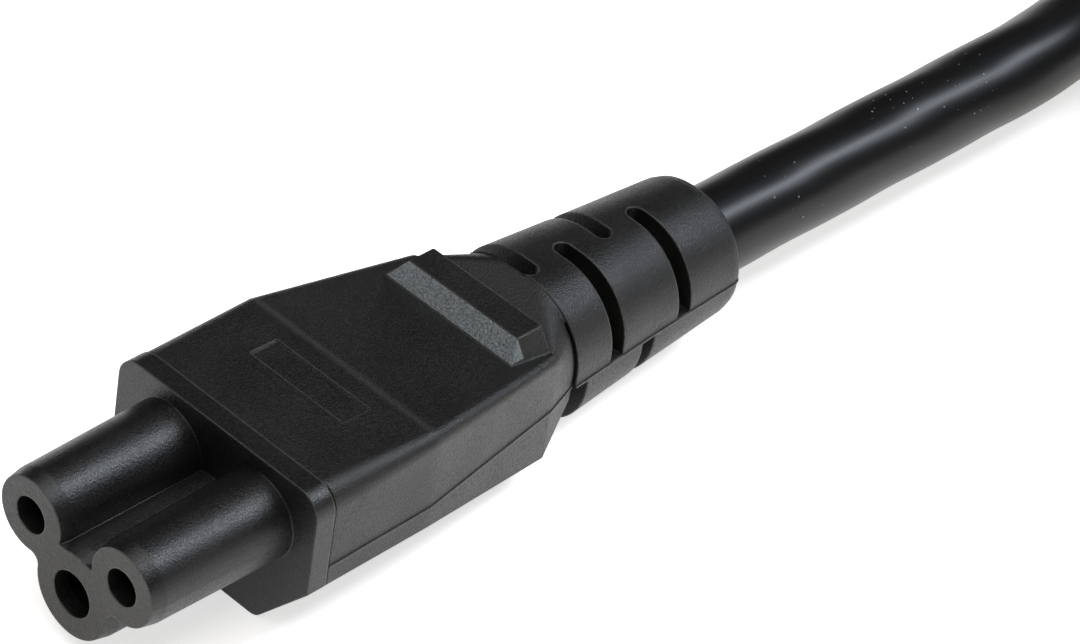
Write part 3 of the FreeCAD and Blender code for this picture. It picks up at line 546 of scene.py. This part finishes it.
def edge_wear_and_highlight(tree, edges, grain, edge_width):
    """How pale the outer edges are painted, from 0 to 1, for wear and a painted highlight, with the peaks of
    the grain first.
    """
    surface = node(tree, "ShaderNodeNewGeometry")
    normals = {0: edges.outputs["Normal"], 1: surface.outputs["Normal"]}
    turned = node(tree, "ShaderNodeVectorMath", {"operation": "DOT_PRODUCT"}, normals)
    # Painted highlight and wear: the more the rounded normal turns from the flat one, the paler the edge.
    worn = node(
        tree,
        "ShaderNodeMapRange",
        inputs={"Value": turned.outputs["Value"], "From Min": PLAIN_FACE_TURN, "From Max": PALEST_EDGE_TURN},
    )
    inward = node(
        tree,
        "ShaderNodeAmbientOcclusion",
        {"samples": 4, "only_local": True},
        {"Distance": edge_width * 2.0},
    )
    outward = node(
        tree,
        "ShaderNodeMapRange",
        inputs={"Value": inward.outputs["AO"], "From Min": INNER_CORNER, "From Max": OPEN_EDGE},
    )
    patchy = node(
        tree,
        "ShaderNodeMapRange",
        inputs={
            "Value": grain.outputs["Fac"],
            "From Min": WEAR_PIT,
            "From Max": WEAR_PEAK,
            "To Min": WEAR_IN_PITS,
        },
    )
    factors = {0: worn.outputs["Result"], 1: patchy.outputs["Result"]}
    rubbed = node(tree, "ShaderNodeMath", {"operation": "MULTIPLY"}, factors)
    factors = {0: rubbed.outputs["Value"], 1: outward.outputs["Result"]}
    bare = node(tree, "ShaderNodeMath", {"operation": "MULTIPLY"}, factors)
    return bare.outputs["Value"]


print("an edge starts to show wear at", round(math.degrees(math.acos(PLAIN_FACE_TURN)), 1), "degrees")

# %% [markdown]
# A little pale dust sticks in the grain, and the sheen is uneven: it changes over patches of a few
# millimetres, and the peaks of the grain are smoother than the pits.

# %% Dust and sheen
DUST_PER_METRE = 1.0 / (0.5 * MM)
DUST_BEGINS = 0.66
DUST_FULL = 0.78
SHEEN_PATCHES_PER_METRE = 220.0
SHEEN_NOISE_LOW = 0.3
SHEEN_NOISE_HIGH = 0.7
SHEEN_SPREAD = 0.04
GLINT_PIT = 0.35
GLINT_PEAK = 0.65
GLINT_SPREAD = 0.11


def settled_dust(tree, spot, amount):
    """How dusty each spot is, from 0 to the amount."""
    specks = node(
        tree,
        "ShaderNodeTexNoise",
        inputs={"Vector": spot, "Scale": DUST_PER_METRE, "Detail": 4.0, "Roughness": 0.8},
    )
    dusty = node(
        tree,
        "ShaderNodeMapRange",
        inputs={
            "Value": specks.outputs["Fac"],
            "From Min": DUST_BEGINS,
            "From Max": DUST_FULL,
            "To Max": amount,
        },
    )
    return dusty.outputs["Result"]


def uneven_sheen(tree, spot, grain, roughness):
    """Roughness that drifts in patches and is lower on the peaks of the grain."""
    cloud = node(
        tree,
        "ShaderNodeTexNoise",
        inputs={"Vector": spot, "Scale": SHEEN_PATCHES_PER_METRE, "Detail": 2.0},
    )
    sheen = node(
        tree,
        "ShaderNodeMapRange",
        inputs={
            "Value": cloud.outputs["Fac"],
            "From Min": SHEEN_NOISE_LOW,
            "From Max": SHEEN_NOISE_HIGH,
            "To Min": roughness - SHEEN_SPREAD,
            "To Max": roughness + SHEEN_SPREAD,
        },
    )
    glint = node(
        tree,
        "ShaderNodeMapRange",
        inputs={
            "Value": grain.outputs["Fac"],
            "From Min": GLINT_PIT,
            "From Max": GLINT_PEAK,
            "To Min": GLINT_SPREAD,
            "To Max": -GLINT_SPREAD,
        },
    )
    terms = {0: sheen.outputs["Result"], 1: glint.outputs["Result"]}
    matt = node(tree, "ShaderNodeMath", {"operation": "ADD"}, terms)
    return matt.outputs["Value"]


print("patches of sheen are about", round(1.0 / SHEEN_PATCHES_PER_METRE / MM, 1), "millimetres wide")

# %% [markdown]
# The rigid nose is PBT, a stiff plastic that keeps its shape in a warm inlet. Its mould is finer than the
# one of the grip, so its relief is lower and it is a little shinier. Both plastics come from one recipe, in
# which only the numbers differ.

# %% Moulded plastics
GRAIN_PER_METRE = 1.0 / (0.17 * MM)


def moulded_plastic(name, colour, edge_colour, roughness, grain_depth, edge_width, dust):
    """Plastic with eroded grain, an uneven sheen, edges paled by wear and a painted highlight, and a little
    dust.
    """
    material, tree, shader = new_material(name)
    spot = node(tree, "ShaderNodeTexCoord").outputs["Object"]
    grain = node(
        tree,
        "ShaderNodeTexNoise",
        inputs={"Vector": spot, "Scale": GRAIN_PER_METRE, "Detail": 3.0, "Roughness": 0.65},
    )
    edges = node(tree, "ShaderNodeBevel", {"samples": 6}, {"Radius": edge_width})
    # The paler edge colour is partly wear and partly a painted highlight on the rounded edges; the dust is
    # real.
    layers = {0: edge_wear_and_highlight(tree, edges, grain, edge_width), 1: settled_dust(tree, spot, dust)}
    pale = node(tree, "ShaderNodeMath", {"operation": "MAXIMUM"}, layers)
    lay_over(tree, shader, pale.outputs["Value"], linear(colour), linear(edge_colour))
    bump = node(
        tree,
        "ShaderNodeBump",
        inputs={
            "Strength": 1.0,
            "Distance": grain_depth,
            "Height": grain.outputs["Fac"],
            "Normal": edges.outputs["Normal"],
        },
    )
    shader.inputs["IOR"].default_value = PLASTIC_IOR
    tree.links.new(uneven_sheen(tree, spot, grain, roughness), shader.inputs["Roughness"])
    tree.links.new(bump.outputs["Normal"], shader.inputs["Normal"])
    return material, tree, shader


grip_pvc, grip_tree, grip_shader = moulded_plastic(
    "black_pvc_spark_eroded",
    colour="100f0d",
    edge_colour="5c5a55",
    roughness=0.42,
    grain_depth=0.055 * MM,
    edge_width=0.25 * MM,
    dust=0.6,
)
nose_pbt = moulded_plastic(
    "black_pbt_moulded",
    colour="121110",
    edge_colour="57554f",
    roughness=0.38,
    grain_depth=0.035 * MM,
    edge_width=0.2 * MM,
    dust=0.5,
)[0]
print("grip material", grip_pvc.name, "nose material", nose_pbt.name)

# %% [markdown]
# The ramp in front of the raised pad was eroded much coarser than the rest, so that it shows up as a pale
# strip. A box in Object coordinates picks out that strip, and inside it the colour and the relief change.
# Its grain is mottled in two greys, with a relief about twice as deep as the one around it.

# %% Coarse strip on the ramp
RAMP_FROM = (-6.05 * MM, 3.86 * MM, 11.36 * MM)
RAMP_TO = (6.05 * MM, 5.06 * MM, 12.6 * MM)
COARSE_PER_METRE = 1.0 / (0.15 * MM)
COARSE_DEPTH = 0.12 * MM
MOTTLE_STOPS = ((0.38, "474a4b"), (0.66, "878d8f"))


def inside_box(tree, spot, low, high):
    """1 inside the box and 0 outside it."""
    split = node(tree, "ShaderNodeSeparateXYZ", inputs={"Vector": spot})
    inside = 1.0
    for axis in range(3):
        for test, limit in (("GREATER_THAN", low[axis]), ("LESS_THAN", high[axis])):
            passed = node(tree, "ShaderNodeMath", {"operation": test}, {0: split.outputs[axis], 1: limit})
            factors = {0: passed.outputs["Value"], 1: inside}
            inside = node(tree, "ShaderNodeMath", {"operation": "MULTIPLY"}, factors).outputs["Value"]
    return inside


def add_ramp_strip(tree, shader):
    """Paler colour and coarser relief inside the strip's box."""
    spot = node(tree, "ShaderNodeTexCoord").outputs["Object"]
    inside = inside_box(tree, spot, RAMP_FROM, RAMP_TO)
    coarse = node(
        tree,
        "ShaderNodeTexNoise",
        inputs={"Vector": spot, "Scale": COARSE_PER_METRE, "Detail": 4.0, "Roughness": 0.75},
    )
    mottle = node(tree, "ShaderNodeValToRGB", inputs={"Fac": coarse.outputs["Fac"]})
    for stop, (position, code) in zip(mottle.color_ramp.elements, MOTTLE_STOPS):
        stop.position = position
        stop.color = linear(code)
    lay_over(tree, shader, inside, feeding(shader, "Base Color"), mottle.outputs["Color"])
    factors = {0: coarse.outputs["Fac"], 1: inside}
    relief = node(tree, "ShaderNodeMath", {"operation": "MULTIPLY"}, factors)
    rough = node(
        tree,
        "ShaderNodeBump",
        inputs={
            "Strength": 1.0,
            "Distance": COARSE_DEPTH,
            "Height": relief.outputs["Value"],
            "Normal": feeding(shader, "Normal"),
        },
    )
    tree.links.new(rough.outputs["Normal"], shader.inputs["Normal"])


add_ramp_strip(grip_tree, grip_shader)
strip_size = [round((high - low) / MM, 2) for low, high in zip(RAMP_FROM, RAMP_TO)]
print("size of the ramp strip in millimetres", strip_size)

# %% [markdown]
# Where the top of the grip starts to slope down to the flange, a blunt crease runs across it. Its rounding
# catches the light as a faint pale line, and that highlight is painted into the colour here. The painted line
# is drawn from the distance to the crease, and only on faces that look up, so that the sides stay as they
# are.

# %% Painted highlight on the crease
CREASE_STATION = -6.1 * MM
CREASE_HALF_WIDTH = 0.45 * MM
CREASE_HIGHLIGHT_SHARE = 0.13
LEANING = 0.8
FACING_UP = 0.95


def add_painted_crease_highlight(tree, shader):
    """A faint painted highlight along the crease."""
    place = node(tree, "ShaderNodeTexCoord")
    split = node(tree, "ShaderNodeSeparateXYZ", inputs={"Vector": place.outputs["Object"]})
    facing = node(tree, "ShaderNodeSeparateXYZ", inputs={"Vector": place.outputs["Normal"]})
    terms = {0: split.outputs["Y"], 1: CREASE_STATION}
    away = node(tree, "ShaderNodeMath", {"operation": "SUBTRACT"}, terms)
    size = node(tree, "ShaderNodeMath", {"operation": "ABSOLUTE"}, {0: away.outputs["Value"]})
    near = node(
        tree,
        "ShaderNodeMapRange",
        inputs={
            "Value": size.outputs["Value"],
            "From Max": CREASE_HALF_WIDTH,
            "To Min": CREASE_HIGHLIGHT_SHARE,
            "To Max": 0.0,
        },
    )
    flat = node(
        tree,
        "ShaderNodeMapRange",
        inputs={"Value": facing.outputs["Z"], "From Min": LEANING, "From Max": FACING_UP},
    )
    factors = {0: near.outputs["Result"], 1: flat.outputs["Result"]}
    both = node(tree, "ShaderNodeMath", {"operation": "MULTIPLY"}, factors)
    # Painted highlight: a paler grey along the crease stands in for the light that its rounding catches.
    lay_over(tree, shader, both.outputs["Value"], feeding(shader, "Base Color"), linear("6a6862"))


add_painted_crease_highlight(grip_tree, grip_shader)
print("crease at", round(CREASE_STATION / MM, 2), "millimetres")

# %% [markdown]
# The cord's sheath is extruded PVC. It is smoother than the moulded grip and has fine lines along it from
# the die, so its highlight is long and a little streaked. The lines are noise that is stretched along the
# UV map. Grains of pale dust cling to it in a few patches. Each grain is the middle of a Voronoi cell. Half
# of the cells stay empty, and a cloud of noise decides where the patches are.

# %% Die lines of the sheath
LINES_ROUND = 2500.0
LINES_ALONG = 60.0
LINE_DEPTH = 0.004 * MM
SMOOTHER_LINE = 0.04
ROUGHER_LINE = 0.05


def add_die_lines(tree, shader, skin, roughness):
    """Faint lines along the cord, in the relief and in the sheen."""
    stretch = (LINES_ROUND, LINES_ALONG, 1.0)
    stretched = node(tree, "ShaderNodeMapping", inputs={"Vector": skin, "Scale": stretch})
    lines = node(
        tree,
        "ShaderNodeTexNoise",
        {"noise_dimensions": "2D"},
        {"Vector": stretched.outputs["Vector"], "Scale": 1.0, "Detail": 2.0},
    )
    shine = node(
        tree,
        "ShaderNodeMapRange",
        inputs={
            "Value": lines.outputs["Fac"],
            "To Min": roughness - SMOOTHER_LINE,
            "To Max": roughness + ROUGHER_LINE,
        },
    )
    relief = {"Strength": 0.6, "Distance": LINE_DEPTH, "Height": lines.outputs["Fac"]}
    bump = node(tree, "ShaderNodeBump", inputs=relief)
    tree.links.new(shine.outputs["Result"], shader.inputs["Roughness"])
    tree.links.new(bump.outputs["Normal"], shader.inputs["Normal"])


print("die lines are about", round(1.0 / LINES_ROUND / MM, 1), "millimetres apart")

# %% Extruded sheath
SPECKS_PER_METRE = 1.0 / (0.8 * MM)
SPECK_REACH = 0.1
EMPTY_CELLS = 0.5
DUST_PATCHES_PER_METRE = 1.0 / (7.0 * MM)
DUST_PATCH_BEGINS = 0.6
DUST_PATCH_FULL = 0.66
DUST_PATCH_SHARE = 0.5
SHEATH_REFLECTION = 0.3


def clinging_dust(tree, skin):
    """How dusty each spot of the sheath is: round grains in a few patches."""
    grains = node(
        tree,
        "ShaderNodeTexVoronoi",
        {"voronoi_dimensions": "2D"},
        {"Vector": skin, "Scale": SPECKS_PER_METRE},
    )
    kept = node(tree, "ShaderNodeSeparateColor", inputs={"Color": grains.outputs["Color"]})
    reach = node(
        tree,
        "ShaderNodeMapRange",
        inputs={"Value": kept.outputs["Red"], "From Min": EMPTY_CELLS, "To Max": SPECK_REACH},
    )
    sides = {0: grains.outputs["Distance"], 1: reach.outputs["Result"]}
    near = node(tree, "ShaderNodeMath", {"operation": "LESS_THAN"}, sides)
    cloud = node(
        tree,
        "ShaderNodeTexNoise",
        {"noise_dimensions": "2D"},
        {"Vector": skin, "Scale": DUST_PATCHES_PER_METRE, "Detail": 1.0},
    )
    patch = node(
        tree,
        "ShaderNodeMapRange",
        inputs={
            "Value": cloud.outputs["Fac"],
            "From Min": DUST_PATCH_BEGINS,
            "From Max": DUST_PATCH_FULL,
            "To Max": DUST_PATCH_SHARE,
        },
    )
    factors = {0: near.outputs["Value"], 1: patch.outputs["Result"]}
    dusty = node(tree, "ShaderNodeMath", {"operation": "MULTIPLY"}, factors)
    return dusty.outputs["Value"]


def extruded_sheath(name, colour, dust_colour, roughness):
    """Smooth PVC with faint die lines along the cord and a few grains of dust in patches."""
    material, tree, shader = new_material(name)
    skin = node(tree, "ShaderNodeUVMap", {"uv_map": "sheath"}).outputs["UV"]
    shader.inputs["IOR"].default_value = PLASTIC_IOR
    shader.inputs["Specular IOR Level"].default_value = SHEATH_REFLECTION
    add_die_lines(tree, shader, skin, roughness)
    lay_over(tree, shader, clinging_dust(tree, skin), linear(colour), linear(dust_colour))
    return material


cord_pvc = extruded_sheath("black_pvc_extruded", colour="111111", dust_colour="a3a3a0", roughness=0.34)
print("cord material", cord_pvc.name)

# %% [markdown]
# The metal pieces are tin plated phosphor bronze for the contacts, nickel plated brass for the plug's pins
# and bare copper for the conductors. Plating is smooth with faint drawing marks, about 0.1 mm wide and a
# few millimetres long, which lie along the connector.

# %% Plated metal and copper
MARKS_ACROSS = 9000.0
MARKS_ALONG = 300.0
MARK_DEPTH = 0.003 * MM
SMOOTHER_MARK = 0.06
ROUGHER_MARK = 0.08


def drawn_metal(name, colour, roughness):
    """Metal with fine marks from drawing."""
    material, tree, shader = new_material(name)
    spot = node(tree, "ShaderNodeTexCoord").outputs["Object"]
    stretch = (MARKS_ACROSS, MARKS_ALONG, MARKS_ACROSS)
    drawn = node(tree, "ShaderNodeMapping", inputs={"Vector": spot, "Scale": stretch})
    marks = node(
        tree,
        "ShaderNodeTexNoise",
        inputs={"Vector": drawn.outputs["Vector"], "Scale": 1.0, "Detail": 2.0},
    )
    sheen = node(
        tree,
        "ShaderNodeMapRange",
        inputs={
            "Value": marks.outputs["Fac"],
            "To Min": roughness - SMOOTHER_MARK,
            "To Max": roughness + ROUGHER_MARK,
        },
    )
    relief = {"Strength": 0.3, "Distance": MARK_DEPTH, "Height": marks.outputs["Fac"]}
    bump = node(tree, "ShaderNodeBump", inputs=relief)
    shader.inputs["Base Color"].default_value = linear(colour)
    shader.inputs["Metallic"].default_value = 1.0
    tree.links.new(sheen.outputs["Result"], shader.inputs["Roughness"])
    tree.links.new(bump.outputs["Normal"], shader.inputs["Normal"])
    return material


tinned_bronze = drawn_metal("tinned_bronze", colour="c9c3b4", roughness=0.3)
nickel_plate = drawn_metal("nickel_plated_brass", colour="cfcbc2", roughness=0.22)
bare_copper = drawn_metal("bare_copper", colour="c98a63", roughness=0.35)
print("metals", tinned_bronze.name, nickel_plate.name, bare_copper.name)

# %% [markdown]
# The cores are insulated in soft PVC, extruded smooth and coloured through, with no dust because they are
# sealed in. The tie round the hank is black vinyl strap. Both use the recipe of the moulded plastics, with
# a finer relief.

# %% Insulation and tie
CORE_COLOURS = {
    "line_insulation": ("brown_pvc_insulation", "5a3420", "70452e"),
    "neutral_insulation": ("blue_pvc_insulation", "2d63a8", "4577b5"),
    "earth_insulation": ("green_pvc_insulation", "4f9a2f", "67a94a"),
}
core_pvc = {}
for slot_name, (name, colour, edge_colour) in CORE_COLOURS.items():
    core_pvc[slot_name] = moulded_plastic(
        name,
        colour=colour,
        edge_colour=edge_colour,
        roughness=0.4,
        grain_depth=0.003 * MM,
        edge_width=0.05 * MM,
        dust=0.0,
    )[0]
tie_vinyl = moulded_plastic(
    "black_vinyl_strap",
    colour="202020",
    edge_colour="3a3a3a",
    roughness=0.5,
    grain_depth=0.01 * MM,
    edge_width=0.1 * MM,
    dust=0.3,
)[0]
print("insulation", [material.name for material in core_pvc.values()], "tie", tie_vinyl.name)

# %% [markdown]
# A solid whose shape is right keeps its mesh and only gets the better material in its slots. The two pieces
# that Blender made have no slots yet, so their material is added.

# %% Materials on the pieces
SLOT_MATERIALS = {
    "nose_plastic": nose_pbt,
    "grip_rubber": grip_pvc,
    "cord_sheath": cord_pvc,
    "tie_strap": tie_vinyl,
    "contact_metal": tinned_bronze,
    "pin_metal": nickel_plate,
    "copper_strand": bare_copper,
    **core_pvc,
}


def dress_solids():
    """Give each solid the material of its slot in the record."""
    dressed = 0
    for part in frame["record"]["subparts"]:
        solid = bpy.data.objects.get(part["node"])
        if solid is None or not solid.data.materials:
            continue
        for slot in solid.material_slots:
            slot.material = SLOT_MATERIALS[part["material_slot"]]
        dressed += 1
    return dressed


mains_cord.data.materials.append(cord_pvc)
moulded_grip.data.materials.append(grip_pvc)
print("solids dressed", dress_solids())

# %% [markdown]
# The photograph is a studio shot on pure white. The table is white and brightly lit, so the upright faces
# mirror it and look grey, while the top faces mirror the dim room and stay nearly black.
# The table also glows by itself: a little more for the camera, so that it comes out white, and a little
# less for the object, so that it isn't washed out.

# %% Table
TABLE_HALF = 3.0
TABLE_ROUGHNESS = 0.9
GLOW_ON_OBJECT = 0.45
GLOW_TO_CAMERA = 0.65


def add_table():
    """A wide white table at height zero."""
    half = TABLE_HALF
    corners = [(-half, -half, 0.0), (half, -half, 0.0), (half, half, 0.0), (-half, half, 0.0)]
    mesh = bpy.data.meshes.new("table")
    mesh.from_pydata(corners, [], [(0, 1, 2, 3)])
    table = add_object("table", mesh)
    material, tree, shader = new_material("white_table")
    path = node(tree, "ShaderNodeLightPath")
    glow = node(
        tree,
        "ShaderNodeMapRange",
        inputs={
            "Value": path.outputs["Is Camera Ray"],
            "To Min": GLOW_ON_OBJECT,
            "To Max": GLOW_TO_CAMERA,
        },
    )
    shader.inputs["Base Color"].default_value = linear("f4f1ec")
    shader.inputs["Roughness"].default_value = TABLE_ROUGHNESS
    shader.inputs["Specular IOR Level"].default_value = 0.0
    shader.inputs["Emission Color"].default_value = WHITE
    tree.links.new(glow.outputs["Result"], shader.inputs["Emission Strength"])
    mesh.materials.append(material)
    return table


table = add_table()
print(table.name, "half width in metres", TABLE_HALF)

# %% [markdown]
# The world is split by the kind of ray, with a Light Path node. The camera sees plain white. Mirrored rays
# see a bright band at the horizon that fades upwards to a dim room and is weaker on the left. All other
# rays get a low, even light, which fills the shadows.

# %% World
BAND_HEIGHT = 0.18
ROOM_MIRRORED = 0.02
LEFT_SIDE = -0.5
RIGHT_SIDE = 0.1
LEFT_SHARE = 0.2
FILL_LIGHT = 0.25


def mirrored_level(tree):
    """Brightness of the room as mirrored rays see it."""
    place = node(tree, "ShaderNodeTexCoord")
    split = node(tree, "ShaderNodeSeparateXYZ", inputs={"Vector": place.outputs["Generated"]})
    height = node(
        tree,
        "ShaderNodeMapRange",
        inputs={
            "Value": split.outputs["Z"],
            "From Max": BAND_HEIGHT,
            "To Min": 1.0,
            "To Max": ROOM_MIRRORED,
        },
    )
    across = node(
        tree,
        "ShaderNodeMapRange",
        inputs={
            "Value": split.outputs["X"],
            "From Min": LEFT_SIDE,
            "From Max": RIGHT_SIDE,
            "To Min": LEFT_SHARE,
        },
    )
    factors = {0: height.outputs["Result"], 1: across.outputs["Result"]}
    return node(tree, "ShaderNodeMath", {"operation": "MULTIPLY"}, factors).outputs["Value"]


def add_world():
    """A white studio that each kind of ray sees in its own way."""
    world = bpy.data.worlds.new("studio")
    bpy.context.scene.world = world
    world.use_nodes = True
    tree = world.node_tree
    tree.nodes.clear()
    path = node(tree, "ShaderNodeLightPath")
    mirrored = {"Color": linear("fffaf4"), "Strength": mirrored_level(tree)}
    room = node(tree, "ShaderNodeBackground", inputs={"Color": WHITE, "Strength": FILL_LIGHT})
    glossy = node(tree, "ShaderNodeBackground", inputs=mirrored)
    seen = node(tree, "ShaderNodeBackground", inputs={"Color": WHITE, "Strength": 1.0})
    final = room.outputs["Background"]
    for ray, view in (("Is Glossy Ray", glossy), ("Is Transmission Ray", seen), ("Is Camera Ray", seen)):
        shades = {0: path.outputs[ray], 1: final, 2: view.outputs["Background"]}
        final = node(tree, "ShaderNodeMixShader", inputs=shades).outputs["Shader"]
    node(tree, "ShaderNodeOutputWorld", inputs={"Surface": final})
    return world


studio = add_world()
bpy.context.scene.view_settings.view_transform = "Standard"
print("world", studio.name)

# %% [markdown]
# One large soft box hangs high behind the connector, to the right of the view. It draws the cool, soft
# highlight on the upper right of the lobes and the cord. A wide lamp overhead lights the table.

# %% Lamps
SIDE_PLACE = (0.44, 0.86, 1.08)
SIDE_SIZE = (0.9, 0.35)
SIDE_WATTS = 13.5
TOP_PLACE = (0.1, -0.3, 1.6)
TOP_SIZE = (1.6, 1.6)
TOP_WATTS = 20.0


def soft_box(name, place, size, watts, colour):
    """Lamp aimed at the origin; its long side runs along the cord direction as far as it can."""
    data = bpy.data.lights.new(name, "AREA")
    data.shape = "RECTANGLE"
    data.size = size[0]
    data.size_y = size[1]
    data.energy = watts
    data.color = linear(colour)[:3]
    lamp = add_object(name, data)
    back = Vector(place).normalized()
    along = Vector((0.0, 1.0, 0.0))
    long_side = (along - back * along.dot(back)).normalized()
    turn = Matrix((long_side, back.cross(long_side), back)).transposed().to_4x4()
    lamp.matrix_world = Matrix.Translation(Vector(place)) @ turn
    return lamp


side_box = soft_box("side_box", SIDE_PLACE, SIDE_SIZE, SIDE_WATTS, "e6eefa")
top_box = soft_box("top_box", TOP_PLACE, TOP_SIZE, TOP_WATTS, "ffffff")
print("lamps in watts", side_box.data.energy, top_box.data.energy)
